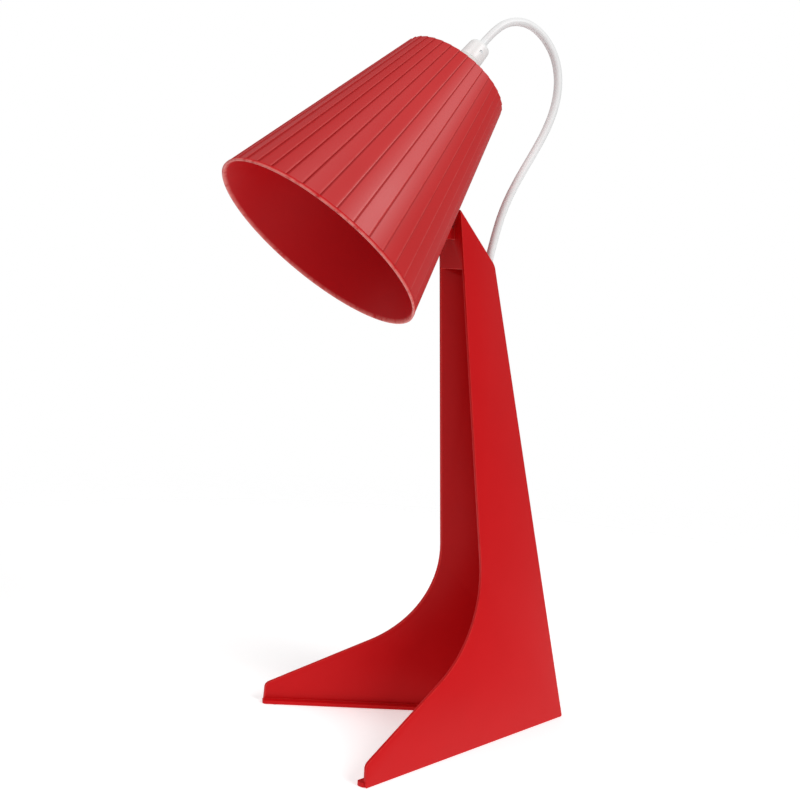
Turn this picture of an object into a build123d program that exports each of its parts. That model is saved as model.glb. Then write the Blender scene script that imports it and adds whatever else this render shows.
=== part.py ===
from build123d import *
from math import atan2, cos, degrees, pi, radians, sin, sqrt, tan
import os

# Desk lamp: a pleated conical shade tilts on a small knuckle at the head of a moulded
# stand.  The stand is two tapered legs, V-shaped in plan and open to the front.
# Millimetres, +Z up, the lamp faces -Y.  The origin is on the floor under the middle
# of the lamp, which is symmetric about X = 0.

# ---- stand ---------------------------------------------------------------------
stand_height = 333.0          # tip of the head above the sole
leg_reach = 186.0             # foot tip ahead of the back corner
leg_splay = 21.0              # each leg from the middle plane, degrees
spine_half_width = 3.0
leg_wall = 2.4
spine_web = 3.0               # solid depth of the corner where the legs meet
back_lean = 0.2545              # forward run of the back edge per unit of height
front_lean = 0.108            # the same for the front edge
front_at_floor = 73.4         # where the front edge would meet the floor
toe_height = 13.0
toe_angle = 28.5              # rise of the foot's upper edge, degrees
instep_radius = 70.0
toe_radius = 5.0
head_angle = 45.0             # fall of the head's top edge, degrees
head_radius = 9.0
heel_radius = 1.0             # small corners of the side view
toe_tip_radius = 0.8
head_tip_radius = 0.6
panel_height = 36.0           # closed front of the head
sole_width = 5.0              # inward ledge along each leg's foot
sole_thickness = 2.4
sole_overhang = 0.5
sole_root = 1.0               # ledge begins this far inside the leg's outer face
sole_end_share = 0.4          # rounding of its ends, of its width
sole_start = 26.0             # ledge starts this far along the leg, clear of the cord
pad_radius = 0.5 * sole_width
pad_thickness = 1.2
pad_proud = 0.3               # pads lift the moulding off the floor
pad_from_end = 8.0
pad_inset = 0.4               # towards the leg's wall
pad_bore_gap = 0.1

# ---- tilting knuckle -----------------------------------------------------------
pivot_below_tip = 14.5
pivot_gap = 5.7               # pivot ahead of the head panel's face
pivot_stand_off = 3.90        # pivot off the shade's wall
pivot_from_rim = 61.49        # along the shade's axis
lug_radius = 3.0
lug_width = 3.9
ear_radius = 3.4
ear_width = 2.4
washer_thickness = 0.4
washer_inset = 0.1
pivot_screw_radius = 1.4
screw_head_radius = 2.6
screw_head_height = 1.6
blind_wall = 0.8              # closes the right ear over the screw's end
bracket_bearing = 1.5         # depth trimmed to the pleats it lies on
bracket_width = 15.0
bracket_length = 16.0
bracket_plate = 3.2
bracket_middle = 14.0         # plate's middle, from the pivot towards the rim
bracket_web = (-1.7, 9.0)     # web under the lug, along the same line
bracket_screw_spots = [(-4.6, bracket_middle), (4.6, bracket_middle)]
bracket_screw_radius = 1.4
bracket_screw_depth = 2.3
bracket_screw_out = 4.0       # shank's length inside the shade's wall line
bracket_head_radius = 2.7
bracket_head_height = 2.6
bracket_hole_gap = 0.2
running_clearance = 0.05
small_gap = 0.05

# ---- shade ---------------------------------------------------------------------
rim_radius = 72.1
neck_radius = 35.7
shade_length = 133.3
shade_elevation = 49.75       # rise of the shade's axis towards its neck, degrees
pleat_count = 38
pleat_phase = 5.2
pleat_step = 1.0
shade_skin = 1.3
lip_height = 2.2
lip_wall = 1.6
neck_disc = 1.8

# ---- lampholder, small screw base, and bulb ------------------------------------
holder_radius = 13.0
holder_depth = 38.0           # below the neck disc's outer face
holder_wall = 4.4
holder_above = 4.6            # above the neck disc
socket_floor = 6.5            # below the neck disc
terminal_wall = 2.0           # wall and floor of the room for the terminals
terminal_floor = 2.0
collar_radius = 19.0
collar_height = 6.0
dome_radius = 17.0
dome_height = 15.0
dome_skirt = 3.0
dome_inside = 6.2
dome_hole_radius = 5.2
dome_lip = 2.5
block_bottom = 1.9            # below the neck disc
block_thickness = 4.2
block_core_radius = 1.3
terminal_spacing = 12.8
terminal_radius = 1.4
terminal_head_radius = 2.4
terminal_head_height = 1.2
terminal_gap = 0.1
shell_thickness = 0.4
shell_length = 25.0
shell_from_mouth = 2.5
contact_strip = (9.0, 3.4, 0.5)
contact_drop = 0.65           # strip below the socket's floor
contact_radius = 1.6
contact_height = 0.7
contact_gap = 0.05            # tongue to the bulb
grip_radius = 7.6
grip_tip_radius = 6.7
grip_height = 27.5            # cord grip's tip above the neck disc
grip_collar = 2.0
grip_tip_corner = 1.0
dome_ledge = 0.8              # flat of the dome's top beside the grip
grub_radius = 1.3
grub_sunk = 0.4
grub_height = 6.5             # above the dome
grub_gap = 0.3                # screw's end to the flex
stub_depth = 6.0              # flex below the dome's top
core_radius = 0.7
core_offset = 1.1
base_radius = 6.9
base_length = 24.0
nib_height = 2.0
nib_radius = 2.4
nib_shoulder = 1.0
bulb_radius = 17.5
bulb_length = 98.0            # from the base's contact to the tip of the glass
bulb_widest = 0.42            # share of the glass above its widest point
bulb_neck = 4.0               # straight throat of the glass, in two steps
bulb_throat = (1.2, 0.4)      # its radii inside the base's
bulb_steps = 10

# ---- flex ----------------------------------------------------------------------
cord_radius = 2.5
cord_setback = 10.0           # flex ahead of the stand's back edge
cord_room = 0.5
stem_heights = (230.0, 36.0)  # straight run of the flex in the stand's corner
slot_room = 3.0               # notch at the left leg's heel, about the flex
slot_middle = 14.0            # ahead of the back corner
slot_height = 23.0            # and the flex's own thickness
slot_width = 16.0
slot_inner = 1.0
clip_heights = (70.0, 160.0, 250.0)
clip_height = 12.0
clip_thickness = 3.1
clip_gap = 0.9
loop_lead = 11.5              # straight flex beyond the cord grip
coil_mean_radius = 30.0
coil_centre = (-143.0, 27.0)  # measured from the stand's back corner
tie_thickness = 0.8
tie_width = 7.0
tie_place = 60.0              # round the coil, degrees
coil_layers = 2
coil_across = 3
coil_corner_gap = 0.1
lead_run = 26.0               # from beside the coil's middle to the plug

# ---- switch and plug -----------------------------------------------------------
switch_length = 56.0
switch_width = 22.0
switch_half_height = 7.0
switch_wall = 1.8
switch_centre = (-74.0, -3.0)
switch_corner = 8.0
switch_end_wall = 4.5
switch_screw_inset = (6.2, 4.4)
switch_screw_radius = 1.1
switch_screw_top = 2.9        # cover left over the screw's end
switch_head_radius = 2.2
switch_head_height = 1.4
switch_head_sunk = 0.4
rocker_reach = 7.6            # radius of its ends about its axis
rocker_width = 9.0
rocker_gap = 0.35
rocker_axis_height = 3.8      # above the switch's middle
rocker_low_slope = 7.5        # top of the pressed end, degrees
rocker_throw = 13.0
trunnion_radius = 0.9
trunnion_length = 1.8
trunnion_end_gap = 0.2
rocker_dip = 1.2              # middle of its top below the cover's face
rocker_skirt = 1.0            # below the switch's middle
cheek_gap = 0.2
contact_place = 12.0
contact_plate = (10.0, 5.0, 0.6)
post_place = 15.0
post_radius = 1.6
post_height = 2.2
plug_length = 36.0
plug_width = 26.0
plug_height = 13.6
pin_radius = 2.0
pin_length = 19.0
pin_spacing = 18.6
plug_chamfer = 0.9
plug_throat = 9.0
plug_shoulder = 8.0
plug_slope = 4.0
plug_corners = (2.0, 3.0, 4.0)

beyond = 1.0                  # how far a cutting body runs past what it cuts
wide = 200.0                  # a cutting body wider than the lamp

PARTS = {}


def keep(name, *solids):
    """Place finished solids, drawn about the stand's back corner, in the part's frame."""
    moved = [Pos(0, lamp_shift, pad_proud) * solid for solid in solids]
    PARTS[name] = moved[0] if len(moved) == 1 else Compound(children=moved)


def keep_on_floor(name, *solids):
    """The same for pieces that lie on the floor and not on the pads."""
    keep(name, *[Pos(0, 0, -pad_proud) * solid for solid in solids])


def line_cross(p, p_dir, q, q_dir):
    """The point where two lines in a plane cross."""
    det = p_dir[0] * q_dir[1] - p_dir[1] * q_dir[0]
    along = ((q[0] - p[0]) * q_dir[1] - (q[1] - p[1]) * q_dir[0]) / det
    return (p[0] + along * p_dir[0], p[1] + along * p_dir[1])


def side_prism(points, half_width, radii=0):
    """A side view drawn in (Y, Z), made as wide as the lamp."""
    outline = FilletPolyline(*points, radius=radii, close=True)
    face = Plane.YZ * make_face(outline)
    return extrude(face, half_width, both=True)


def disc_x(radius, centre, x_low, x_high):
    """A cylinder along X between two faces, at a (Y, Z) centre."""
    plane = Plane(origin=(x_low, centre[0], centre[1]), x_dir=(0, 1, 0), z_dir=(1, 0, 0))
    return extrude(plane * Circle(radius), x_high - x_low)


def drum(radius, low, high):
    """A cylinder about Z between two levels."""
    return Pos(0, 0, (low + high) / 2) * Cylinder(radius, high - low)


def revolve_profile(points):
    """A solid of revolution about Z from (radius, z) corners."""
    face = Plane.XZ * make_face(Polyline(*points, close=True))
    return revolve(face, Axis.Z)


# ---- places that several pieces share -----------------------------------------
ear_inner = lug_width / 2 + small_gap + washer_thickness
ear_outer = ear_inner + ear_width
splay = radians(leg_splay)
leg_out = (sin(splay), -cos(splay))
leg_length = leg_reach / cos(splay)
front_edge_dir = (-front_lean, 1.0)
head_tip = (-front_at_floor - front_lean * stand_height, stand_height)
pivot_z = stand_height - pivot_below_tip
pivot = (-front_at_floor - front_lean * pivot_z - pivot_gap, pivot_z)

tilt = radians(shade_elevation)
taper = atan2(rim_radius - neck_radius, shade_length)
wall_radius_at_pivot = rim_radius - pivot_from_rim * tan(taper)
pivot_off_axis = wall_radius_at_pivot + pivot_stand_off * cos(taper)
pivot_along = pivot_from_rim + pivot_stand_off * sin(taper)
rim_centre = (
    pivot[0] - pivot_off_axis * sin(tilt) - pivot_along * cos(tilt),
    pivot[1] + pivot_off_axis * cos(tilt) - pivot_along * sin(tilt),
)
shade_place = Pos(0, rim_centre[0], rim_centre[1]) * Rot(shade_elevation - 90, 0, 0)
neck_place = shade_place * Pos(0, 0, shade_length)
lamp_shift = -(rim_centre[0] - rim_radius * sin(tilt)) / 2


def plan_v(outer_only):
    """The legs in plan: the whole V when outer_only, or only its walls."""
    far = leg_length * 1.3
    outer = (spine_half_width + far * leg_out[0], far * leg_out[1])
    if outer_only:
        right = [(spine_half_width, 0), outer]
    else:
        inset = leg_wall / cos(splay)
        web_x = spine_half_width - inset + spine_web * tan(splay)
        right = [
            (spine_half_width, 0),
            outer,
            (outer[0] - inset, outer[1]),
            (web_x, -spine_web),
        ]
    left = [(-x, y) for x, y in reversed(right)]
    return make_face(Polyline(*right, *left, close=True))


def leaning_prism(face):
    """A plan pushed up along the leaning back edge."""
    rise = stand_height * 1.1
    direction = Vector(0, -back_lean, 1)
    return extrude(face, rise * direction.length, dir=direction.normalized())


def stand_outline():
    """Side view of the stand, clockwise from the back corner, with its corner radii."""
    toe_dir = (cos(radians(toe_angle)), sin(radians(toe_angle)))
    knee = line_cross(
        (-leg_reach, toe_height), toe_dir, (-front_at_floor, 0), front_edge_dir
    )
    fall = radians(head_angle)
    head_back = line_cross(head_tip, (cos(fall), -sin(fall)), (0, 0), (-back_lean, 1))
    points = [(0, 0), (-leg_reach, 0), (-leg_reach, toe_height), knee, head_tip, head_back]
    radii = [heel_radius, toe_tip_radius, toe_radius, instep_radius, head_tip_radius, head_radius]
    return points, radii


def head_panel():
    """The closed front of the head, flush with the legs' front edges."""
    low = stand_height - panel_height
    front_low = (-front_at_floor - front_lean * low, low)
    back_low = (front_low[0] + leg_wall, low)
    fall = radians(head_angle)
    back_top = line_cross(back_low, front_edge_dir, head_tip, (cos(fall), -sin(fall)))
    panel = side_prism([front_low, back_low, back_top, head_tip], wide)
    return panel & leaning_prism(plan_v(True))


def pivot_ears():
    """Two ears on the head panel that carry the pivot screw."""
    reach = pivot_gap + leg_wall / 2
    ears = []
    for side in (-1, 1):
        low_x = min(side * ear_inner, side * ear_outer)
        ear = disc_x(ear_radius, pivot, low_x, low_x + ear_width)
        root = Pos(low_x + ear_width / 2, pivot[0] + reach / 2, pivot[1]) * Box(
            ear_width, reach, 2 * ear_radius
        )
        ears.append(ear + root)
    return ears


def sole_frame(side):
    """Plan frame of a leg's foot: x along the leg, y outwards."""
    return Plane(
        origin=(side * spine_half_width, 0, 0),
        x_dir=(side * leg_out[0], leg_out[1], 0),
        z_dir=(0, 0, 1),
    )


def sole_ledge(side):
    """The inward ledge that each leg stands on, with rounded ends."""
    depth = leg_wall + sole_width
    across = depth - sole_root
    length = leg_length + sole_overhang - sole_start
    flat = Pos(sole_start + length / 2, -side * (sole_root + depth) / 2) * RectangleRounded(
        length, across, across * sole_end_share
    )
    return extrude(sole_frame(side) * flat, sole_thickness)


def pad_spots():
    """Centres of the four small pads under the soles."""
    across = leg_wall + sole_width / 2 - pad_inset
    spots = []
    for side in (-1, 1):
        for along in (sole_start + pad_from_end, leg_length - pad_from_end):
            spots.append(sole_frame(side) * Pos(along, -side * across, 0))
    return spots


def cord_stem_points():
    """Centre of the flex from the head's mouth down the corner and out to the floor."""
    before = loop_points[-1]
    inside = [(0, -back_lean * height - cord_setback, height) for height in stem_heights]
    floor_level = cord_room - pad_proud + cord_radius
    switch_end = (switch_centre[0] + switch_length / 2, switch_centre[1])
    return [
        (0, loop_end[0], loop_end[1]),
        (0, 2 * loop_end[0] - before[0], 2 * loop_end[1] - before[1]),
        *inside,
        *[(x, y, floor_level + rise) for x, y, rise in heel_route],
        (*switch_end, switch_half_height - pad_proud),
    ]


def cord_tube(points, radius=cord_radius, name=""):
    """A round tube along straight runs joined by arcs as large as the runs allow."""
    runs = [Vector(*b) - Vector(*a) for a, b in zip(points, points[1:])]
    radii = []
    for before, after in zip(runs, runs[1:]):
        half_turn = radians(before.get_angle(after)) / 2
        radii.append(0.45 * min(before.length, after.length) / tan(half_turn))
    path = FilletPolyline(*points, radius=radii) if radii else Line(*points)
    start = Plane(origin=path @ 0, z_dir=path % 0)
    tube = sweep(start * Circle(radius), path)
    if name:
        ratio = tube.volume / (pi * radius**2 * path.length)
        print(name, "arc radii", [round(r, 1) for r in radii])
        print(name, "length", round(path.length, 1), "volume ratio", round(ratio, 4))
    return tube


def make_stand():
    points, radii = stand_outline()
    legs = side_prism(points, wide, radii) & leaning_prism(plan_v(False))
    stand = legs + head_panel()
    for ear in pivot_ears():
        stand += ear
    for side in (-1, 1):
        stand += sole_ledge(side)
    stand -= disc_x(pivot_screw_radius, pivot, -ear_outer - small_gap, ear_outer - blind_wall)
    for spot in pad_spots():
        stand -= spot * drum(pad_radius + pad_bore_gap, 0, pad_thickness - pad_proud)
    # Room for the flex: a groove at the head's mouth and a slot through the left leg.
    stem = cord_stem_points()
    above = (0, *loop_points[-1])
    stand -= cord_tube([above, *stem[1:4]], cord_radius + cord_room)
    slot = Box(
        slot_width,
        2 * (cord_radius + slot_room),
        slot_height + 2 * cord_radius + beyond,
        align=(Align.MAX, Align.CENTER, Align.MIN),
    )
    stand -= Pos(-slot_inner, -slot_middle, -beyond) * slot
    keep("stand", stand)
    pads = [spot * drum(pad_radius, -pad_proud, pad_thickness - pad_proud) for spot in pad_spots()]
    keep("foot_pads", *pads)


def make_cord_clips():
    """Three clips that snap between the legs and hold the flex in the corner."""
    inset = leg_wall / cos(splay)
    far = leg_length
    near_x = spine_half_width - inset
    room = [(near_x, 0), (near_x + far * tan(splay), -far)]
    plan = make_face(Polyline(*room, *[(-x, y) for x, y in reversed(room)], close=True))
    inside = leaning_prism(plan)
    back = cord_setback + cord_radius + clip_gap
    front = back + clip_thickness
    clips = []
    for height in clip_heights:
        corners = [(-back_lean * height - back, height), (-back_lean * height - front, height)]
        rise = clip_height
        upper = [(y - back_lean * rise, z + rise) for y, z in reversed(corners)]
        clips.append(side_prism([*corners, *upper], wide) & inside)
    keep("cord_clips", *clips)


def make_pivot():
    """Pivot screw, put in from the left, and the friction washers either side of the lug."""
    head = disc_x(screw_head_radius, pivot, -ear_outer - screw_head_height, -ear_outer)
    slot_depth = screw_head_height / 2
    slot = Pos(-ear_outer - screw_head_height, *pivot) * Box(
        2 * slot_depth, 3 * screw_head_radius, slot_depth
    )
    shank = disc_x(pivot_screw_radius, pivot, -ear_outer, ear_outer - blind_wall)
    keep("pivot_screw", (head - slot) + shank)
    washers = []
    for side in (-1, 1):
        low_x = min(side * ear_inner, side * (ear_inner - washer_thickness))
        ring = disc_x(lug_radius - washer_inset, pivot, low_x, low_x + washer_thickness)
        bore = disc_x(pivot_screw_radius + small_gap, pivot, -ear_outer, ear_outer)
        washers.append(ring - bore)
    keep("friction_washers", *washers)


def pleated_ring(radius, step):
    """Section of the pleated skin: flat boards that each end in a small step."""
    pitch = 2 * pi / pleat_count
    corners = []
    for index in range(pleat_count):
        start = radians(pleat_phase) + index * pitch
        for angle, reach in ((start, radius - step), (start + pitch, radius)):
            corners.append((reach * cos(angle), reach * sin(angle)))
    return make_face(Polyline(*corners, close=True))


def shade_outside():
    """The shade's outer form as a solid body, in its own frame, rim at z = 0."""
    small = neck_radius / rim_radius
    low = pleated_ring(rim_radius, pleat_step)
    high = Pos(0, 0, shade_length) * pleated_ring(neck_radius, pleat_step * small)
    pleats = loft([low, high], ruled=True)
    lip_top = rim_radius - lip_height * tan(taper)
    lip = revolve_profile([(0, 0), (rim_radius, 0), (lip_top, lip_height), (0, lip_height)])
    return pleats + lip


def wall_frame():
    """Frame on the shade's wall under the pivot: y to the rim, z outwards."""
    return Plane(
        origin=(0, wall_radius_at_pivot, pivot_from_rim),
        x_dir=(1, 0, 0),
        z_dir=(0, cos(taper), sin(taper)),
    )


def make_shade():
    outside = shade_outside()
    skin = pleat_step + shade_skin
    top = shade_length - neck_disc
    inner_rim = rim_radius - lip_wall
    inner_lip = rim_radius - skin - lip_height * tan(taper)
    inner_neck = rim_radius - skin - top * tan(taper)
    hollow = revolve_profile(
        [(0, -beyond), (inner_rim, -beyond), (inner_rim, 0), (inner_lip, lip_height),
         (inner_neck, top), (0, top)]
    )
    shade = outside - hollow - drum(holder_radius + bracket_hole_gap, top, shade_length + beyond)
    for x, y in bracket_screw_spots:
        hole = Cylinder(bracket_screw_radius + bracket_hole_gap, 4 * skin)
        shade -= wall_frame() * Pos(x, y, 0) * hole
    # The end wall is a node of its own, parted from the pleats along their inner face.
    past = neck_disc + beyond
    core = revolve_profile(
        [(0, top - beyond), (inner_neck + beyond * tan(taper), top - beyond),
         (inner_neck - past * tan(taper), shade_length + beyond), (0, shade_length + beyond)]
    )
    keep("shade", shade_place * (shade - core))
    keep("shade_top", shade_place * (shade & core))
    make_bracket(outside, shade, skin)


def make_bracket(outside, shade, skin):
    """The shade's half of the knuckle, screwed on from inside the shade."""
    plate_height = bracket_plate + bracket_bearing
    plate = Pos(0, bracket_middle, (bracket_plate - bracket_bearing) / 2) * Box(
        bracket_width, bracket_length, plate_height
    )
    web_low, web_high = bracket_web
    web = Pos(0, (web_low + web_high) / 2, (pivot_stand_off - bracket_bearing) / 2) * Box(
        lug_width, web_high - web_low, pivot_stand_off + bracket_bearing
    )
    barrel = Pos(0, 0, pivot_stand_off) * Rot(0, 90, 0)
    lug = barrel * Cylinder(lug_radius, lug_width)
    bracket = wall_frame() * (plate + web + lug)
    bore = Cylinder(pivot_screw_radius + running_clearance, lug_width + 2 * beyond)
    bracket -= wall_frame() * barrel * bore
    bracket -= outside
    screws = []
    for x, y in bracket_screw_spots:
        drill = wall_frame() * Pos(x, y, 0)
        bracket -= drill * drum(
            bracket_screw_radius + small_gap, -bracket_screw_out, bracket_screw_depth + small_gap
        )
        shank = drill * drum(bracket_screw_radius, -bracket_screw_out, bracket_screw_depth)
        head_middle = -bracket_screw_out - skin / 2
        half = bracket_head_height / 2
        flat_head = drill * drum(bracket_head_radius, head_middle - half, head_middle + half)
        pieces = (flat_head + shank) - (shade + bracket)
        screws.append(shade_place * max(pieces.solids(), key=lambda solid: solid.volume))
    keep("shade_bracket", shade_place * bracket)
    keep("bracket_screws", *screws)


def make_lampholder():
    """Holder gripped through the shade's neck disc; z = 0 is the disc's outer face."""
    bore = holder_radius - holder_wall
    mouth = -holder_depth
    body = drum(holder_radius, mouth, holder_above)
    body -= drum(bore, mouth - beyond, -socket_floor)
    body -= drum(holder_radius - terminal_wall, -terminal_floor, holder_above + beyond)
    keep("lampholder_body", neck_place * body)

    ring_low = -neck_disc - collar_height
    ring = drum(collar_radius, ring_low, -neck_disc)
    ring -= drum(holder_radius + small_gap, ring_low - beyond, 0)
    keep("shade_ring", neck_place * ring)

    neck = grip_radius + dome_ledge
    seat = holder_radius + small_gap
    dome = revolve_profile(
        [(seat, 0), (dome_radius, 0), (dome_radius, dome_skirt),
         (neck, dome_height), (dome_hole_radius, dome_height),
         (dome_hole_radius, dome_height - dome_lip), (seat, dome_inside)]
    )
    keep("holder_dome", neck_place * dome)

    block_top = block_thickness - block_bottom
    block_radius = holder_radius - terminal_wall - terminal_gap - small_gap
    block = drum(block_radius, -block_bottom, block_top)
    block -= drum(block_core_radius, -block_bottom - beyond, block_top + beyond)
    terminals = []
    for side in (-1, 1):
        spot = Pos(side * terminal_spacing / 2, 0, 0)
        block -= spot * drum(terminal_radius + terminal_gap, -block_bottom - beyond, block_top + beyond)
        seat_top = block_top + contact_height / 2
        shank = drum(terminal_radius, -terminal_floor, seat_top)
        head = drum(terminal_head_radius, seat_top, seat_top + terminal_head_height)
        terminals.append(neck_place * spot * (shank + head))
    keep("terminal_block", neck_place * block)
    keep("terminal_screws", *terminals)

    shell_radius = bore - small_gap
    shell_low = mouth + shell_from_mouth
    shell_high = shell_low + shell_length
    shell = drum(shell_radius, shell_low, shell_high)
    shell -= drum(shell_radius - shell_thickness, shell_low - beyond, shell_high + beyond)
    keep("screw_shell", neck_place * shell)
    strip_top = -socket_floor - contact_drop
    strip = Pos(0, 0, strip_top - contact_strip[2] / 2) * Box(*contact_strip)
    tongue_low = strip_top - contact_strip[2] - contact_height
    tongue = drum(contact_radius, tongue_low, strip_top)
    keep("centre_contact", neck_place * (strip + tongue))

    make_grip()
    make_bulb(tongue_low - contact_gap)


def make_grip():
    """Cord grip in the dome, its grub screw, the end of the flex and its two cores."""
    tip = grip_height
    throat = cord_radius + small_gap
    plug = dome_hole_radius - terminal_gap
    collar = dome_height + small_gap
    foot = dome_height - dome_lip + terminal_gap
    grip = revolve_profile(
        [(throat, foot), (plug, foot), (plug, collar), (grip_radius, collar),
         (grip_radius, dome_height + grip_collar), (grip_tip_radius, tip - grip_tip_corner),
         (grip_tip_radius - grip_tip_corner, tip), (throat, tip)]
    )
    across = Pos(0, 0, dome_height + grub_height) * Rot(0, 90, 0)
    bore = across * drum(grub_radius + small_gap, 0, grip_radius + beyond)
    grub = across * drum(grub_radius, cord_radius + grub_gap, grip_radius - grub_sunk)
    keep("cord_grip", neck_place * (grip - bore))
    keep("grip_screw", neck_place * grub)

    stub_low = dome_height - stub_depth
    keep("cord_end", neck_place * drum(cord_radius, stub_low, tip))
    wire_end = block_thickness - block_bottom + contact_height / 2 + terminal_head_height
    cores = []
    for side in (-1, 1):
        terminal = side * terminal_spacing / 2
        route = [
            (side * core_offset, 0, stub_low - 5 * small_gap),
            (side * (core_offset + core_radius), 0, stub_low - 2.5 * core_radius),
            (terminal - side * core_radius, 0, wire_end + 2 * core_radius),
            (terminal, 0, wire_end + core_radius),
        ]
        cores.append(neck_place * cord_tube(route, core_radius))
    keep("core_wires", *cores)


def make_bulb(top):
    """Candle-sized lamp with a small screw base, tip well inside the rim."""
    base_low = top - base_length
    nib_low = top - nib_height
    nib = Pos(0, 0, (nib_low + top) / 2) * Cone(base_radius - nib_shoulder, nib_radius, nib_height)
    keep("bulb_base", neck_place * (drum(base_radius, base_low, nib_low) + nib))
    length = bulb_length - base_length
    upper = length * bulb_widest
    outline = [
        (base_radius - bulb_throat[0], base_low),
        (base_radius - bulb_throat[1], base_low - bulb_neck / 2),
    ]
    for step in range(1, bulb_steps + 1):
        turn = pi * 0.5 * step / bulb_steps
        z = base_low - bulb_neck - (upper - bulb_neck) * sin(turn)
        outline.append((base_radius + (bulb_radius - base_radius) * sin(turn), z))
    for step in range(1, bulb_steps + 1):
        turn = pi * 0.5 * step / bulb_steps
        outline.append((bulb_radius * cos(turn), base_low - upper - (length - upper) * sin(turn)))
    glass = revolve_profile([(0, base_low), *outline[:-1], (0, outline[-1][1])])
    keep("bulb_glass", neck_place * glass)


# Centre of the free flex between the cord grip and the head, in (Y, Z).
loop_points = [
    (-76.5, 447.9), (-63.0, 448.6), (-50.6, 441.9), (-41.2, 430.3),
    (-36.9, 416.0), (-38.0, 400.2), (-43.6, 384.6), (-52.3, 369.2), (-61.4, 354.2),
    (-69.4, 338.6), (-75.0, 321.6),
]
loop_end = (-78.6, 304.2)

# The flex from the stand's heel to the switch: X, Y and rise above lying on the floor.
heel_route = [(-3.5, -14.5, 11.3), (-16.0, -9.7, 1.5), (-27.0, -6.0, 0.0), (-37.5, -3.4, 3.1)]


def make_cord():
    """The flex: free loop, the run down the stand, the floor run, a tied coil, the plug end."""
    start = (neck_place * Pos(0, 0, grip_height)).position
    first = (neck_place * Pos(0, 0, grip_height + loop_lead)).position
    loop = [(0, start.Y, start.Z), (0, first.Y, first.Z)]
    loop += [(0, y, z) for y, z in loop_points]
    loop.append((0, *loop_end))
    keep("cord_loop", cord_tube(loop, name="cord_loop"))

    stem = cord_stem_points()
    keep("cord_stem", cord_tube(stem, name="cord_stem"))

    x0 = switch_centre[0] - switch_length / 2
    y0 = switch_centre[1]
    coil_x, coil_y = coil_centre
    outer = coil_mean_radius + 2 * cord_radius
    coil_foot = coil_y - outer
    low_z = tie_thickness + cord_radius
    tail = [
        (x0, y0, switch_half_height),
        (x0 - 9.0, y0 - 0.6, switch_half_height - 0.9),
        (x0 - 21.0, coil_foot + 1.6, low_z + 1.4),
        (coil_x + 8.0, coil_foot + 0.3, low_z + 0.1),
    ]
    keep_on_floor("cord_tail", cord_tube(tail, name="cord_tail"))

    width = coil_across * 2 * cord_radius
    height = 2 * cord_radius * (1 + (coil_layers - 1) * sqrt(3) / 2)
    section = Pos(coil_mean_radius, tie_thickness + height / 2) * RectangleRounded(
        width, height, cord_radius - coil_corner_gap
    )
    coil = revolve(Plane.XZ * section, Axis.Z)
    keep_on_floor("cord_coil", Pos(coil_x, coil_y, 0) * coil)

    tie_out = Pos(coil_mean_radius, (height + 2 * tie_thickness) / 2)
    grow = 2 * tie_thickness
    band = tie_out * (
        RectangleRounded(width + grow, height + grow, cord_radius)
        - RectangleRounded(width, height, cord_radius - coil_corner_gap)
    )
    strap = revolve(Plane.XZ * band, Axis.Z, degrees(tie_width / coil_mean_radius))
    keep_on_floor("coil_tie", Pos(coil_x, coil_y, 0) * Rot(0, 0, tie_place) * strap)

    top_z = tie_thickness + height - cord_radius
    plug_z = plug_height / 2
    plug_x = coil_x - outer
    plug_y = coil_y + lead_run
    end = [
        (plug_x, coil_y + 2.0, top_z),
        (plug_x, coil_y + 0.5 * lead_run, plug_z),
        (plug_x, plug_y, plug_z),
    ]
    keep_on_floor("cord_lead", cord_tube(end, name="cord_lead"))
    return plug_x, plug_y


def make_switch():
    """In-line rocker switch in two shells, lying on the floor."""
    h = switch_half_height
    place = Pos(*switch_centre, h)
    slab = RectangleRounded(switch_length, switch_width, switch_corner)
    cave_width = switch_width - 2 * switch_wall
    cave_corner = switch_corner - switch_wall
    cave = RectangleRounded(switch_length - 2 * switch_end_wall, cave_width, cave_corner)
    passage = Rot(0, 90, 0) * Cylinder(cord_radius + small_gap, switch_length + beyond)
    lower = extrude(slab, -h) - extrude(cave, -h + switch_wall)
    upper = extrude(slab, h) - extrude(cave, h - switch_wall)
    opening = Pos(0, 0, h) * Box(
        2 * (rocker_reach + rocker_gap), rocker_width + 2 * rocker_gap, 2 * switch_wall
    )
    for side in (-1, 1):
        near = side * (rocker_width / 2 + rocker_gap)
        cheek_middle = near + side * trunnion_length / 2
        cheek_low = rocker_axis_height - 2 * trunnion_radius
        cheek = Pos(0, cheek_middle, (cheek_low + h) / 2) * Box(
            4 * trunnion_radius, trunnion_length, h - cheek_low - cheek_gap
        )
        upper += cheek
    bore = Pos(0, 0, rocker_axis_height) * Rot(90, 0, 0) * Cylinder(
        trunnion_radius + running_clearance, switch_width - 2 * switch_wall
    )
    keep_on_floor("switch_base", place * (lower - passage - switch_screw_holes()))
    cover = upper - passage - opening - bore - switch_screw_holes()
    keep_on_floor("switch_cover", place * cover)
    screws = []
    for spot in switch_screw_spots():
        head_low = -h + switch_head_sunk
        shank = drum(switch_screw_radius, head_low, h - switch_screw_top)
        head = drum(switch_head_radius, head_low, head_low + switch_head_height)
        screws.append(place * Pos(*spot) * (shank + head))
    keep_on_floor("switch_screws", *screws)
    keep_on_floor("switch_rocker", place * rocker_at_rest())

    floor = -h + switch_wall
    plate_top = floor + contact_height + contact_plate[2]
    contacts = []
    for side in (-1, 1):
        strip = Pos(side * contact_place, 0, plate_top - contact_plate[2] / 2) * Box(*contact_plate)
        post_low = plate_top - contact_plate[2]
        post = Pos(side * post_place, 0) * drum(post_radius, post_low, floor + post_height)
        contacts.append(place * (strip + post))
    keep_on_floor("switch_contacts", *contacts)


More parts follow.
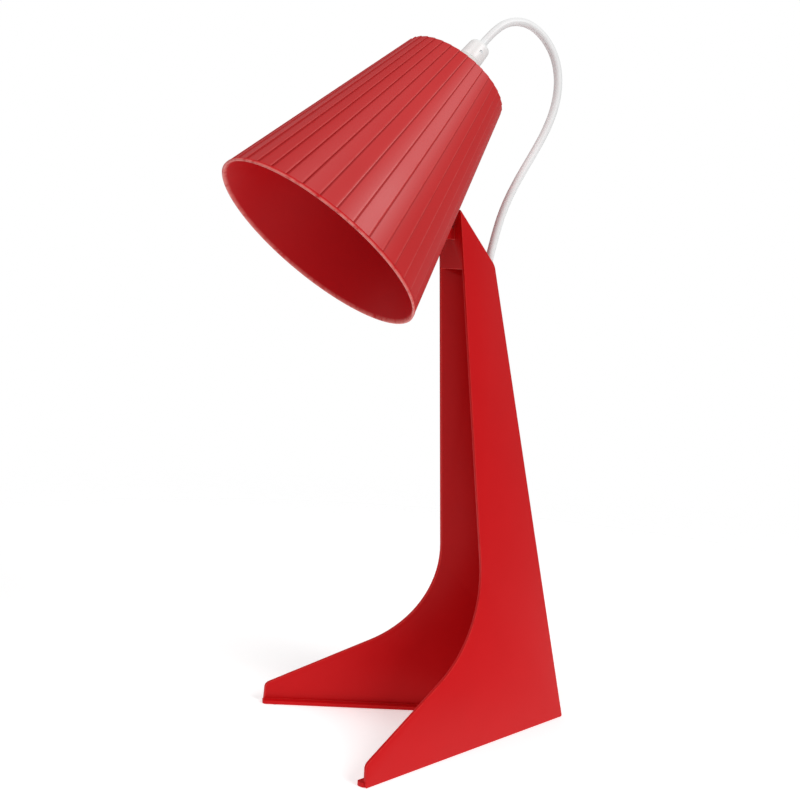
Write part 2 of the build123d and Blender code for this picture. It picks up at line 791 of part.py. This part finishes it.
def switch_screw_spots():
    """The two screws sit in opposite corners of the switch."""
    x = switch_length / 2 - switch_screw_inset[0]
    y = switch_width / 2 - switch_screw_inset[1]
    return [(-x, y), (x, -y)]


def switch_screw_holes():
    """Countersunk bores from below that stop inside the cover."""
    low = -switch_half_height
    holes = []
    for spot in switch_screw_spots():
        top = switch_half_height - switch_screw_top + small_gap
        bore = drum(switch_screw_radius + small_gap, low - beyond, top)
        sink_top = low + switch_head_sunk + switch_head_height
        sink = drum(switch_head_radius + 2 * small_gap, low - beyond, sink_top)
        holes.append(Pos(*spot) * (bore + sink))
    return holes[0] + holes[1]


def rocker_at_rest():
    """A rocker with a V top and rounded ends that turns on two short trunnions."""
    reach = rocker_reach
    middle = switch_half_height - rocker_dip
    low_end = middle + reach * tan(radians(rocker_low_slope))
    high_end = middle + reach * tan(radians(rocker_low_slope + rocker_throw))
    low = -rocker_skirt
    points = [(-reach, low), (reach, low), (reach, low_end), (0, middle), (-reach, high_end)]
    face = Plane.XZ * make_face(Polyline(*points, close=True))
    turned = Pos(0, 0, rocker_axis_height) * Rot(90, 0, 0)
    rocker = extrude(face, rocker_width / 2, both=True) & turned * Cylinder(reach, rocker_width)
    stub = rocker_gap + trunnion_length - trunnion_end_gap
    return rocker + turned * Cylinder(trunnion_radius, rocker_width + 2 * stub)


def make_plug(plug_x, plug_y):
    """Flat two-pin plug beside the coil."""
    z = plug_height / 2
    half = plug_width / 2
    right = [(0, -plug_throat / 2), (-plug_shoulder, plug_slope - half), (-plug_length, -half)]
    left = [(x, -y) for x, y in reversed(right)]
    radii = [*plug_corners, *reversed(plug_corners)]
    plan = make_face(FilletPolyline(*right, *left, radius=radii, close=True))
    body = extrude(plan, plug_height / 2, both=True)
    for end in (0, -1):
        body = chamfer(body.faces().sort_by(Axis.Z)[end].edges(), plug_chamfer)
    place = Pos(plug_x, plug_y, z) * Rot(0, 0, -90)
    keep_on_floor("plug_body", place * body)
    pins = []
    for side in (-1, 1):
        pin = Pos(-plug_length - pin_length / 2, side * pin_spacing / 2, 0) * Rot(0, 90, 0)
        pins.append(place * pin * Cylinder(pin_radius, pin_length))
    keep_on_floor("plug_pins", *pins)


make_stand()
make_cord_clips()
make_pivot()
make_shade()
make_lampholder()
plug_spot = make_cord()
make_switch()
make_plug(*plug_spot)

os.makedirs("parts", exist_ok=True)
for node_name, shape in PARTS.items():
    export_step(shape, f"parts/{node_name}.step")
print(len(PARTS), "nodes")
print("pivot", 0.0, round(pivot[0] + lamp_shift, 3), round(pivot[1] + pad_proud, 3))
print("shift", round(lamp_shift, 3), "rim centre", [round(v, 2) for v in rim_centre])
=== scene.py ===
from math import atan2, cos, pi, radians, sin, tan

import bmesh
import bpy
from mathutils import Matrix, Vector


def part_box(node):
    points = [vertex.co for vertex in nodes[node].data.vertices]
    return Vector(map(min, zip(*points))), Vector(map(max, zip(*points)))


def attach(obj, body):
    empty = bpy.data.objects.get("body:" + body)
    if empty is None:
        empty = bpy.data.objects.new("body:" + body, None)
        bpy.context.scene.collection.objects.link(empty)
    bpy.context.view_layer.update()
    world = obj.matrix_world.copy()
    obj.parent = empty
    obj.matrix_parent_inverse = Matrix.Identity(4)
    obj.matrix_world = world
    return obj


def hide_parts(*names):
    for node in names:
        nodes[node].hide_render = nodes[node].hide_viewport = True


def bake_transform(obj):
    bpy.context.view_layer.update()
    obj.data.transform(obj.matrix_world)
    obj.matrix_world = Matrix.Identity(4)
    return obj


# Desk lamp with a pleated shade on a moulded two-legged stand.  Metres, +Z up, the lamp
# faces -Y.  Lengths below are in millimetres where a name ends in _mm, or are multiplied
# by MM where they are used.

MM = 0.001
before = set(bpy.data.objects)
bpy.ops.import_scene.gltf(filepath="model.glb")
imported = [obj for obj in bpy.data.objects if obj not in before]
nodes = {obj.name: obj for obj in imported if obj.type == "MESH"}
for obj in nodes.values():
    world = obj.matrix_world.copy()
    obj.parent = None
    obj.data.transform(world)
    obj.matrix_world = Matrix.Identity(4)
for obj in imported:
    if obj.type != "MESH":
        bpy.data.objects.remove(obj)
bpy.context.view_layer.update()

# The stand's back corner, which the flex is measured from, and the pads' lift.
stand_low, stand_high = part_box("stand")
corner_y = stand_high.y
pad_lift = stand_low.z

# The shade's own frame: its axis rises towards the neck, in the plane X = 0.
rim_mm = 72.1
neck_mm = 35.7
length_mm = 133.3
rim_radius = rim_mm * MM
neck_radius = neck_mm * MM
shade_length = length_mm * MM
shade_elevation = radians(49.75)
shade_low, shade_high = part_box("shade")
rim_centre = Vector((0, shade_low.y + rim_radius * sin(shade_elevation), 0))
rim_centre.z = shade_low.z + rim_radius * cos(shade_elevation)
shade_place = Matrix.Translation(rim_centre) @ Matrix.Rotation(
    shade_elevation - pi / 2, 4, "X"
)
neck_place = shade_place @ Matrix.Translation((0, 0, shade_length))


# ---- camera ----------------------------------------------------------------------
def make_camera():
    right = Vector((0.32940208, 0.94355602, 0.03458752))
    up = Vector((-0.13732919, 0.01163583, 0.99045712))
    back = right.cross(up)
    data = bpy.data.cameras.new("camera")
    data.sensor_width = 36.0
    data.lens = 57.95
    data.shift_x = 0.29006
    data.shift_y = 0.02038
    data.clip_start = 0.05
    data.clip_end = 20.0
    camera = bpy.data.objects.new("camera", data)
    turn = Matrix((right, up, back)).transposed().to_4x4()
    camera.matrix_world = Matrix.Translation((0.69908, -0.40883, 0.30718)) @ turn
    bpy.context.scene.collection.objects.link(camera)
    bpy.context.scene.camera = camera
    bpy.context.view_layer.update()


# ---- small tools for materials -----------------------------------------------------
class Value:
    """A socket that can be written into sums."""

    def __init__(self, finish, socket):
        self.finish = finish
        self.socket = socket

    def combine(self, operation, first, second):
        node = self.finish.add("ShaderNodeMath", {"operation": operation}, {0: first, 1: second})
        return node.out(0)

    def __add__(self, other):
        return self.combine("ADD", self, other)

    __radd__ = __add__

    def __sub__(self, other):
        return self.combine("SUBTRACT", self, other)

    def __rsub__(self, other):
        return self.combine("SUBTRACT", other, self)

    def __mul__(self, other):
        return self.combine("MULTIPLY", self, other)

    __rmul__ = __mul__

    def between(self, low, high):
        """0 at low, 1 at high, and smooth in between."""
        node = self.finish.add(
            "ShaderNodeMapRange",
            {"interpolation_type": "SMOOTHSTEP"},
            {"Value": self, "From Min": low, "From Max": high},
        )
        return node.out(0)


class Made:
    """A node that has been added."""

    def __init__(self, finish, node):
        self.finish = finish
        self.node = node

    def out(self, which):
        return Value(self.finish, self.node.outputs[which])


class Finish:
    """A material that is put together from nodes."""

    def __init__(self, name, **constants):
        self.material = bpy.data.materials.new(name)
        self.material.use_nodes = True
        self.tree = self.material.node_tree
        self.shader = self.tree.nodes["Principled BSDF"]
        for label, value in constants.items():
            self.shader.inputs[label.replace("_", " ")].default_value = value
        self.place = self.add("ShaderNodeTexCoord").out("Object")

    def add(self, kind, settings=None, sockets=None):
        node = self.tree.nodes.new(kind)
        for key, value in (settings or {}).items():
            if key == "stops":
                while len(node.color_ramp.elements) < len(value):
                    node.color_ramp.elements.new(0.5)
                for stop, (position, colour) in zip(node.color_ramp.elements, value):
                    stop.position = position
                    stop.color = colour
            else:
                setattr(node, key, value)
        for key, value in (sockets or {}).items():
            socket = node.inputs[key]
            if isinstance(value, Value):
                self.tree.links.new(value.socket, socket)
            else:
                socket.default_value = value
        return Made(self, node)

    def noise(self, scale, detail=2.0):
        sockets = {"Vector": self.place, "Scale": scale, "Detail": detail}
        return self.add("ShaderNodeTexNoise", {"noise_dimensions": "3D"}, sockets).out(0)

    def attribute(self, name):
        settings = {"attribute_type": "GEOMETRY", "attribute_name": name}
        return self.add("ShaderNodeAttribute", settings).out("Fac")

    def blend(self, factor, first, second):
        node = self.add(
            "ShaderNodeMix",
            {"data_type": "RGBA"},
            {"Factor": factor, 6: first, 7: second},
        )
        return node.out(2)

    def feed(self, label, value):
        self.tree.links.new(value.socket, self.shader.inputs[label])

    def bump(self, height, strength, distance):
        node = self.add(
            "ShaderNodeBump", None, {"Height": height, "Strength": strength, "Distance": distance}
        )
        self.feed("Normal", node.out("Normal"))


def colour(red, green, blue):
    return (red, green, blue, 1.0)


def moulded_plastic(name, base, deep, edge, rough, grain, sheen=0.5):
    """Pigmented moulded plastic: cloudy pigment and fine grain, with a painted highlight on marked
    edges and painted shade in pleat grooves.
    """
    finish = Finish(name, IOR=1.48, Specular_IOR_Level=sheen)
    cloud = finish.noise(14.0, 3.0).between(0.3, 0.7)
    flow = finish.noise(55.0, 2.0).between(0.35, 0.65)
    speck = finish.noise(900.0, 2.0).between(0.62, 0.75)
    body = finish.blend(cloud * 0.75 + flow * 0.25, colour(*deep), colour(*base))
    # Painted highlight: faces with the edge mark are blended towards the paler edge colour, broken
    # up by noise, and made a little glossier.
    edge_highlight = finish.attribute("edge") * finish.noise(240.0, 2.0).between(0.15, 0.6)
    edge_lit = finish.blend(edge_highlight * 0.75, body, colour(*edge))
    # Painted shade: where the groove mark is set, the colour is darkened towards the shadow colour
    # and made rougher, standing in for shade in the pleat steps.
    shadow = [part * 0.80 for part in deep]
    groove = finish.attribute("groove")
    groove_shaded = finish.blend(groove * 0.9, edge_lit, colour(*shadow))
    finish.feed("Base Color", groove_shaded)
    uneven = cloud * 0.05 + speck * 0.06 + edge_highlight * -0.08
    finish.feed("Roughness", uneven + groove * 0.3 + rough)
    fine = finish.noise(2600.0, 2.0)
    finish.bump(fine * 0.9 + finish.noise(160.0, 1.0) * 0.1, grain, 0.00006)
    return finish.material


def sheath(name, base, deep):
    """Smooth extruded sheath of the flex, with faint draw marks along it."""
    finish = Finish(name, IOR=1.5, Specular_IOR_Level=0.45)
    cloud = finish.noise(40.0, 3.0).between(0.3, 0.7)
    body = finish.blend(cloud, colour(*deep), colour(*base))
    finish.feed("Base Color", body)
    finish.feed("Roughness", cloud * 0.08 + 0.36)
    finish.bump(finish.noise(500.0, 1.0), 0.04, 0.00002)
    return finish.material


def metal(name, base, rough):
    """Plated or pressed metal with faint rubbing."""
    finish = Finish(name, Metallic=1.0)
    rub = finish.noise(420.0, 3.0).between(0.3, 0.7)
    dark = [part * 0.82 for part in base]
    finish.feed("Base Color", finish.blend(rub, colour(*dark), colour(*base)))
    finish.feed("Roughness", rub * 0.12 + rough)
    finish.bump(finish.noise(1500.0, 2.0), 0.15, 0.0001)
    return finish.material


def opal(name):
    """Frosted bulb glass."""
    finish = Finish(name, IOR=1.5, Subsurface_Weight=0.0)
    haze = finish.noise(60.0, 2.0).between(0.3, 0.7)
    pale, paler = colour(0.80, 0.80, 0.78), colour(0.88, 0.88, 0.86)
    finish.feed("Base Color", finish.blend(haze, pale, paler))
    finish.feed("Roughness", haze * 0.06 + 0.18)
    return finish.material


def matt(name, base, rough=0.6):
    """Rubber, fibre and other matt pieces."""
    finish = Finish(name, IOR=1.45, Specular_IOR_Level=0.35)
    cloud = finish.noise(90.0, 3.0).between(0.3, 0.7)
    deep = [part * 0.8 for part in base]
    finish.feed("Base Color", finish.blend(cloud, colour(*deep), colour(*base)))
    finish.feed("Roughness", cloud * 0.1 + rough)
    finish.bump(finish.noise(1200.0, 2.0), 0.3, 0.0001)
    return finish.material


# Each moulded plastic gets its base colour, a deeper colour for its cloudy tone, a paler colour
# painted on marked edges as a highlight, then roughness, grain and sheen.
stand_red = moulded_plastic(
    "stand_red", (0.565, 0.0050, 0.0072), (0.545, 0.0045, 0.0066), (0.72, 0.050, 0.042), 0.36, 0.10,
    0.13,
)
shade_red = moulded_plastic(
    "shade_red", (0.545, 0.0060, 0.0070), (0.525, 0.0054, 0.0064), (0.86, 0.24, 0.21), 0.42, 0.12,
    0.60,
)
lining_red = moulded_plastic(
    "lining_red", (0.560, 0.0050, 0.0085), (0.540, 0.0045, 0.0080), (0.86, 0.26, 0.23), 0.45, 0.10,
    0.12,
)
white_plastic = moulded_plastic(
    "white_plastic", (0.87, 0.87, 0.86), (0.85, 0.85, 0.84), (0.90, 0.90, 0.89), 0.32, 0.06
)
white_sheath = sheath("white_sheath", (0.86, 0.86, 0.86), (0.83, 0.83, 0.83))
holder_white = moulded_plastic(
    "holder_white", (0.74, 0.73, 0.70), (0.70, 0.69, 0.66), (0.8, 0.79, 0.77), 0.4, 0.2
)
tie_white = matt("tie_white", (0.70, 0.70, 0.68), 0.5)
core_brown = matt("core_brown", (0.12, 0.05, 0.03), 0.45)
pad_black = matt("pad_black", (0.03, 0.03, 0.03), 0.7)
fibre_grey = matt("fibre_grey", (0.06, 0.05, 0.045), 0.7)
zinc = metal("zinc", (0.62, 0.62, 0.63), 0.3)
brass = metal("brass", (0.72, 0.52, 0.22), 0.28)
plated = metal("plated", (0.74, 0.70, 0.60), 0.24)
bulb_shell = metal("bulb_shell", (0.70, 0.70, 0.68), 0.3)
opal_glass = opal("opal_glass")

NODE_FINISH = {
    "stand": stand_red, "foot_pads": pad_black, "cord_clips": stand_red, "pivot_screw": stand_red,
    "friction_washers": fibre_grey, "shade": shade_red, "shade_top": shade_red,
    "shade_bracket": stand_red, "bracket_screws": zinc, "lampholder_body": holder_white,
    "shade_ring": holder_white, "holder_dome": holder_white, "terminal_block": holder_white,
    "terminal_screws": brass, "screw_shell": brass, "centre_contact": brass,
    "cord_grip": white_plastic, "grip_screw": zinc, "cord_end": white_sheath,
    "core_wires": core_brown, "bulb_base": bulb_shell, "bulb_glass": opal_glass,
    "cord_loop": white_sheath, "cord_stem": white_sheath, "cord_tail": white_sheath,
    "cord_coil": white_sheath, "coil_tie": tie_white, "cord_lead": white_sheath,
    "switch_base": white_plastic, "switch_cover": white_plastic, "switch_screws": zinc,
    "switch_rocker": white_plastic, "switch_contacts": brass, "plug_body": white_plastic,
    "plug_pins": plated,
}
for node_name, finish_used in NODE_FINISH.items():
    nodes[node_name].data.materials.clear()
    nodes[node_name].data.materials.append(finish_used)


# ---- small tools for shapes ----------------------------------------------------------
weld = 2e-6
flat_degrees = 0.4
least_rounded_degrees = 28


def new_piece(name, form, finish, sharp_degrees=35):
    """Turns a bmesh into a finished object at the origin."""
    for face in form.faces:
        face.smooth = True
    for edge in form.edges:
        if len(edge.link_faces) == 2:
            edge.smooth = edge.calc_face_angle() < radians(sharp_degrees)
    mesh = bpy.data.meshes.new(name)
    form.to_mesh(mesh)
    form.free()
    mesh.materials.append(finish)
    piece = bpy.data.objects.new(name, mesh)
    bpy.context.scene.collection.objects.link(piece)
    return piece


def lathe(form, profile, place, steps=64):
    """Spins a closed loop of (radius, height) corners in millimetres round a piece's own axis."""
    verts = [form.verts.new((radius * MM, 0, height * MM)) for radius, height in profile]
    ring = [form.edges.new((a, b)) for a, b in zip(verts, verts[1:] + verts[:1])]
    bmesh.ops.spin(
        form, geom=verts + ring, cent=(0, 0, 0), axis=(0, 0, 1), dvec=(0, 0, 0),
        angle=2 * pi, steps=steps, use_merge=True, use_normal_flip=False, use_duplicate=False,
    )
    bmesh.ops.remove_doubles(form, verts=form.verts, dist=1e-6)
    bmesh.ops.recalc_face_normals(form, faces=form.faces)
    bmesh.ops.transform(form, matrix=place, verts=form.verts)


def softened(node, name, width_mm, finish, segments=2, keep=None):
    """A copy of a CAD node with its sharp edges rounded and marked to be painted paler, a painted
    highlight.
    """
    form = bmesh.new()
    form.from_mesh(nodes[node].data)
    bmesh.ops.remove_doubles(form, verts=form.verts, dist=weld)
    bmesh.ops.dissolve_limit(
        form, angle_limit=radians(flat_degrees), use_dissolve_boundaries=False,
        verts=form.verts, edges=form.edges, delimit=set(),
    )
    sharp = [
        edge for edge in form.edges
        if len(edge.link_faces) == 2 and edge.calc_face_angle() > radians(least_rounded_degrees)
        and (keep is None or keep(edge))
    ]
    made = bmesh.ops.bevel(
        form, geom=sharp, offset=width_mm * MM, offset_type="OFFSET", segments=segments,
        profile=0.5, affect="EDGES", clamp_overlap=False, loop_slide=True, material=-1,
    )
    # Faces made by the bevel are marked, and the material paints them paler as a highlight along
    # the edges.
    edge_highlight_mark = form.verts.layers.float.new("edge")
    rounded = set(made["faces"])
    for face in rounded:
        for vert in face.verts:
            vert[edge_highlight_mark] = float(all(beside in rounded for beside in vert.link_faces))
    bmesh.ops.triangulate(form, faces=[face for face in form.faces if len(face.verts) > 4])
    return new_piece(name, form, finish)


# ---- flex ------------------------------------------------------------------------------
cord_diameter = 5.0 * MM


def at_corner(x, y, z, lift=True):
    """A place measured in millimetres from the stand's back corner."""
    return Vector((x * MM, y * MM + corner_y, z * MM + (pad_lift if lift else 0)))


def spline(name, points, radius):
    """A smooth open curve with these control points."""
    curve = bpy.data.curves.new(name, "CURVE")
    curve.dimensions = "3D"
    line = curve.splines.new("NURBS")
    line.points.add(len(points) - 1)
    for control, point in zip(line.points, points):
        control.co = (*point, 1.0)
    line.order_u = 3
    line.use_endpoint_u = True
    line.resolution_u = 10
    curve.bevel_depth = radius
    curve.bevel_resolution = 5
    curve.use_fill_caps = True
    piece = bpy.data.objects.new(name, curve)
    bpy.context.scene.collection.objects.link(piece)
    return piece


def followed(piece):
    """Points along a spline, in order."""
    piece.data.bevel_depth = 0.0
    bpy.context.view_layer.update()
    mesh = bpy.data.meshes.new_from_object(piece)
    points = [vert.co.copy() for vert in mesh.vertices]
    bpy.data.meshes.remove(mesh)
    return points


grip_height = 27.5 * MM
loop_lead = 11.5 * MM
loop_points = [
    neck_place @ Vector((0, 0, grip_height)),
    neck_place @ Vector((0, 0, grip_height + loop_lead)),
    at_corner(0, -76.5, 447.9), at_corner(0, -63.0, 448.6), at_corner(0, -50.6, 441.9),
    at_corner(0, -41.2, 430.3), at_corner(0, -36.9, 416.0), at_corner(0, -38.0, 400.2),
    at_corner(0, -43.6, 384.6), at_corner(0, -52.3, 369.2), at_corner(0, -61.4, 354.2),
    at_corner(0, -69.4, 338.6), at_corner(0, -75.0, 321.6), at_corner(0, -78.6, 304.2),
]
stem_points = [
    at_corner(0, -78.6, 304.2), at_corner(0, -82.2, 286.8), at_corner(0, -67.5, 230),
    at_corner(0, -19, 36), at_corner(-3.5, -14.5, 14), at_corner(-16, -9.7, 4.5, False),
    at_corner(-27, -6, 3.0, False), at_corner(-37.5, -3.4, 6.1, False),
    at_corner(-46, -3, 7, False),
]


def coil_route():
    """Tail, wound turns and the lead to the plug."""
    centre = (-143.0, 27.0)
    outer = 35.0
    foot = centre[1] - outer
    turns = 6.25
    lead_in = 0.08
    step_over = 0.16
    route = [
        at_corner(-102, -3, 7, False), at_corner(-111, -3.6, 6.1, False),
        at_corner(-123, foot + 1.6, 4.7, False), at_corner(-135, foot + 0.3, 3.4, False),
    ]
    radii = [outer, 30.0, 25.0, 25.0, 30.0, outer, outer]
    levels = [3.4, 3.4, 3.4, 8.3, 8.3, 8.3, 8.3]
    per_turn = 24
    for step in range(1, int(turns * per_turn)):
        turn, part = divmod(step / per_turn + lead_in, 1.0)
        ahead = min(1.0, part / step_over) if turn > 0 else 1.0
        ease = ahead * ahead * (3 - 2 * ahead)
        before = max(int(turn) - 1, 0)
        radius = radii[before] + (radii[int(turn)] - radii[before]) * ease
        level = levels[before] + (levels[int(turn)] - levels[before]) * ease
        angle = -pi / 2 - 2 * pi * step / per_turn
        route.append(at_corner(
            centre[0] + radius * cos(angle), centre[1] + radius * sin(angle), level, False
        ))
    plug_low, plug_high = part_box("plug_body")
    plug_x = (plug_low.x + plug_high.x) / 2 / MM
    plug_level = 6.8
    route.append(at_corner(plug_x, centre[1] + 2, 8.2, False))
    route.append(at_corner(plug_x, centre[1] + 13, plug_level, False))
    route.append(Vector((plug_x * MM, plug_low.y, plug_level * MM)))
    return route


def make_flex():
    loop = spline("flex_loop_line", loop_points, 0.0)
    path = followed(loop)
    loop.data.bevel_depth = cord_diameter / 2
    bpy.context.view_layer.update()
    mesh = bpy.data.meshes.new_from_object(loop)
    bpy.data.objects.remove(loop)
    piece = bpy.data.objects.new("flex_loop", mesh)
    bpy.context.scene.collection.objects.link(piece)
    mesh.materials.clear()
    mesh.materials.append(white_sheath)
    for polygon in mesh.polygons:
        polygon.use_smooth = True
    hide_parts("cord_loop")
    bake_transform(piece)

    down = spline("flex_down", stem_points, cord_diameter / 2)
    down.data.materials.append(white_sheath)
    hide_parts("cord_stem")
    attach(down, "stand")

    route = coil_route()
    floor = spline("flex_floor", route, cord_diameter / 2)
    floor.data.splines[0].resolution_u = 4
    floor.data.materials.append(white_sheath)
    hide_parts("cord_tail", "cord_coil", "cord_lead")
    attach(floor, "stand")


# ---- stand ---------------------------------------------------------------------------
def away_from_pads(edge):
    """True off the sole's underside and the toe's ledge, whose edges are too short to round."""
    above_ledge, above_pads, toe_length = 3.4, 1.3, 12.0
    middle = (edge.verts[0].co + edge.verts[1].co) / 2
    height = (middle.z - pad_lift) / MM
    from_toe = (middle.y - stand_low.y) / MM
    return height > above_ledge or (height > above_pads and from_toe > toe_length)


def make_stand():
    stand = softened(
        "stand", "stand_moulding", 0.45, stand_red, keep=away_from_pads
    )
    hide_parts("stand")
    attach(stand, "stand")


# ---- shade -----------------------------------------------------------------------------
pleat_count = 38
pleat_phase = radians(5.2)
pleat_step = 1.0
pleat_wall = 0.7
lining_wall = 1.3
lip_height = 2.2
lip_overlap = 0.05
end_wall = 1.8
holder_hole = 13.3
taper = atan2(rim_radius - neck_radius, shade_length)


def make_shade():
    """Pleated skin, smooth lip and lining, each a closed shell in one piece."""
    form = bmesh.new()
    ridge_highlight_mark = form.verts.layers.float.new("edge")
    groove_shade_mark = form.verts.layers.float.new("groove")
    start_radius = rim_mm - lip_height * tan(taper) - lip_overlap
    pitch = 2 * pi / pleat_count
    # Each row of across: share of the pitch, height of the board, painted highlight on the ridge,
    # painted shade in the groove.
    across = [
        (0.000, 0.00, 0.0, 1.0), (0.080, 0.09, 0.0, 1.0), (0.115, 0.13, 0.0, 0.0),
        (0.300, 0.33, 0.0, 0.0), (0.600, 0.63, 0.0, 0.0), (0.860, 0.90, 0.0, 0.0),
        (0.930, 0.96, 0.15, 0.0), (0.975, 1.00, 0.15, 0.0), (1.000, 0.86, 0.0, 0.6),
    ]
    outer, inner = [], []
    for share, height, edge, groove in across:
        angle = pleat_phase + share * pitch
        radius = start_radius - pleat_step * (1 - height)
        vert = form.verts.new((radius * cos(angle) * MM, radius * sin(angle) * MM, 0))
        vert[ridge_highlight_mark], vert[groove_shade_mark] = edge, groove
        outer.append(vert)
        low = start_radius - pleat_step - pleat_wall
        inner.append(form.verts.new((low * cos(angle) * MM, low * sin(angle) * MM, 0)))
    angle = pleat_phase + pitch
    radius = start_radius - pleat_step
    foot = form.verts.new((radius * cos(angle) * MM, radius * sin(angle) * MM, 0))
    foot[groove_shade_mark] = 1.0
    outer.append(foot)
    for index in range(len(inner) - 1):
        form.faces.new((outer[index], inner[index], inner[index + 1], outer[index + 1]))
    form.faces.new((outer[-2], inner[-1], outer[-1]))
    base = list(form.faces)
    rise = bmesh.ops.extrude_face_region(form, geom=base, use_keep_orig=True)
    top = [item for item in rise["geom"] if isinstance(item, bmesh.types.BMVert)]
    shrink = neck_mm / start_radius
    for vert in top:
        vert.co.x *= shrink
        vert.co.y *= shrink
        vert.co.z = shade_length - lip_height * MM
    ends = []
    for face in form.faces:
        turns = [atan2(vert.co.y, vert.co.x) for vert in face.verts]
        if max(turns) - min(turns) < 1e-5 and not any(v in (outer[-2],) for v in face.verts):
            ends.append(face)
    bmesh.ops.delete(form, geom=ends, context="FACES_ONLY")
    bmesh.ops.translate(form, verts=form.verts, vec=(0, 0, lip_height * MM))
    bmesh.ops.spin(
        form, geom=list(form.verts) + list(form.edges) + list(form.faces), cent=(0, 0, 0),
        axis=(0, 0, 1), dvec=(0, 0, 0), angle=2 * pi, steps=pleat_count, use_merge=False,
        use_normal_flip=False, use_duplicate=True,
    )
    bmesh.ops.remove_doubles(form, verts=form.verts, dist=4e-6)
    bmesh.ops.recalc_face_normals(form, faces=form.faces)

    lining = bmesh.new()
    skin = pleat_step + lining_wall
    slope = tan(taper)
    top = length_mm
    under = top - end_wall
    profile = [
        (rim_mm - 0.5, 0.0), (rim_mm - 0.1, 0.35), (rim_mm - 0.35, 1.7),
        (rim_mm - 0.95, lip_height + 0.1), (rim_mm - pleat_step - 1.2, lip_height + 0.2),
        (rim_mm - pleat_step - 1.2 - (top - 0.6) * slope, top - 0.5),
        (neck_mm - 1.4, top), (33.0, top), (20.0, top), (holder_hole + 0.1, top),
        (holder_hole, under), (rim_mm - skin - under * slope, under),
        (rim_mm - skin - lip_height * slope, lip_height), (rim_mm - 1.6, 0.3), (rim_mm - 1.1, 0.0),
    ]
    lathe(lining, profile, Matrix.Identity(4), 152)
    # The lip at the rim gets the edge mark, so it is painted paler as a highlight.
    rim_highlight_mark = lining.verts.layers.float.new("edge")
    for face in lining.faces:
        if face.calc_center_median().z > 0.3 * MM:
            face.material_index = 1
    for vert in lining.verts:
        height = vert.co.z / MM
        far = vert.co.xy.length / MM
        if height < 0.5 or (height < 1.0 and far > rim_mm - 0.8):
            vert[rim_highlight_mark] = 1.0
    mesh = bpy.data.meshes.new("lining")
    lining.to_mesh(mesh)
    lining.free()
    form.from_mesh(mesh)
    bpy.data.meshes.remove(mesh)
    bmesh.ops.transform(form, matrix=shade_place, verts=form.verts)
    shade = new_piece("shade_pleated", form, shade_red, sharp_degrees=30)
    shade.data.materials.append(lining_red)
    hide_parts("shade", "shade_top")
    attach(shade, "shade")


# ---- cord grip and holder ------------------------------------------------------------------
def make_grip():
    form = bmesh.new()
    base = 15.05
    tip = 27.5
    profile = [
        (2.55, base), (7.1, base), (7.55, base + 0.35), (7.6, base + 1.2),
        (7.45, base + 3.0), (6.95, tip - 2.2), (6.75, tip - 1.2), (6.2, tip - 0.35),
        (5.4, tip), (3.4, tip), (2.9, tip - 0.3), (2.55, tip - 1.0),
    ]
    lathe(form, profile, neck_place, 48)
    grip = new_piece("grip_cap", form, white_plastic, sharp_degrees=50)
    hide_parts("cord_grip")
    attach(grip, "shade")


def make_switch_and_plug():
    for node in ("switch_base", "switch_cover"):
        piece = softened(node, node + "_shell", 0.4, white_plastic)
        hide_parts(node)
        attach(piece, "stand")
    rocker = softened("switch_rocker", "rocker_cap", 0.25, white_plastic)
    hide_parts("switch_rocker")
    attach(rocker, "rocker")
    body = softened("plug_body", "plug_shell", 0.6, white_plastic, 3)
    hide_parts("plug_body")
    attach(body, "stand")
    pins = softened("plug_pins", "plug_prongs", 0.5, plated, 3)
    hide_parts("plug_pins")
    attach(pins, "stand")


# ---- floor and light -----------------------------------------------------------------------
def make_stage():
    form = bmesh.new()
    bmesh.ops.create_grid(form, x_segments=1, y_segments=1, size=6.0)
    mesh = bpy.data.meshes.new("floor")
    form.to_mesh(mesh)
    form.free()
    floor = bpy.data.objects.new("floor", mesh)
    bpy.context.scene.collection.objects.link(floor)
    finish = Finish(
        "floor_white", Roughness=0.9, Specular_IOR_Level=0.1, Emission_Color=colour(1, 1, 1),
        Emission_Strength=0.38,
    )
    cloud = finish.noise(3.0, 2.0).between(0.2, 0.8)
    pale, paler = colour(0.90, 0.90, 0.90), colour(0.92, 0.92, 0.92)
    finish.feed("Base Color", finish.blend(cloud, pale, paler))
    reach = finish.add("ShaderNodeVectorMath", {"operation": "LENGTH"}, {0: finish.place}).out(1)
    finish.feed("Alpha", 1.0 - reach.between(0.25, 1.0))
    mesh.materials.append(finish.material)

    world = bpy.data.worlds.new("studio")
    world.use_nodes = True
    links = world.node_tree.links
    light = world.node_tree.nodes["Background"]
    light.inputs["Color"].default_value = colour(1, 1, 1)
    light.inputs["Strength"].default_value = 0.34
    backdrop = world.node_tree.nodes.new("ShaderNodeBackground")
    backdrop.inputs["Color"].default_value = colour(1, 1, 1)
    path = world.node_tree.nodes.new("ShaderNodeLightPath")
    either = world.node_tree.nodes.new("ShaderNodeMixShader")
    links.new(path.outputs["Is Camera Ray"], either.inputs[0])
    links.new(light.outputs[0], either.inputs[1])
    links.new(backdrop.outputs[0], either.inputs[2])
    links.new(either.outputs[0], world.node_tree.nodes["World Output"].inputs["Surface"])
    bpy.context.scene.world = world
    bpy.context.scene.view_settings.view_transform = "Standard"

    for name, place, aim, size, power in (
        ("key", (1.7, 0.8, 1.5), (0, 0, 0.2), 1.2, 26.0),
        ("over", (0.5, -0.9, 2.2), (0, 0, 0.3), 1.2, 15.0),
        ("fill", (-1.4, -1.8, 1.2), (0, 0, 0.2), 1.6, 6.0),
    ):
        data = bpy.data.lights.new(name, "AREA")
        data.shape = "DISK"
        data.size = size
        data.energy = power
        light = bpy.data.objects.new(name, data)
        light.location = place
        light.rotation_euler = (Vector(aim) - Vector(place)).to_track_quat("-Z", "Y").to_euler()
        bpy.context.scene.collection.objects.link(light)


make_camera()
make_switch_and_plug()
make_flex()
make_stand()
make_shade()
make_grip()
make_stage()

bpy.context.view_layer.update()
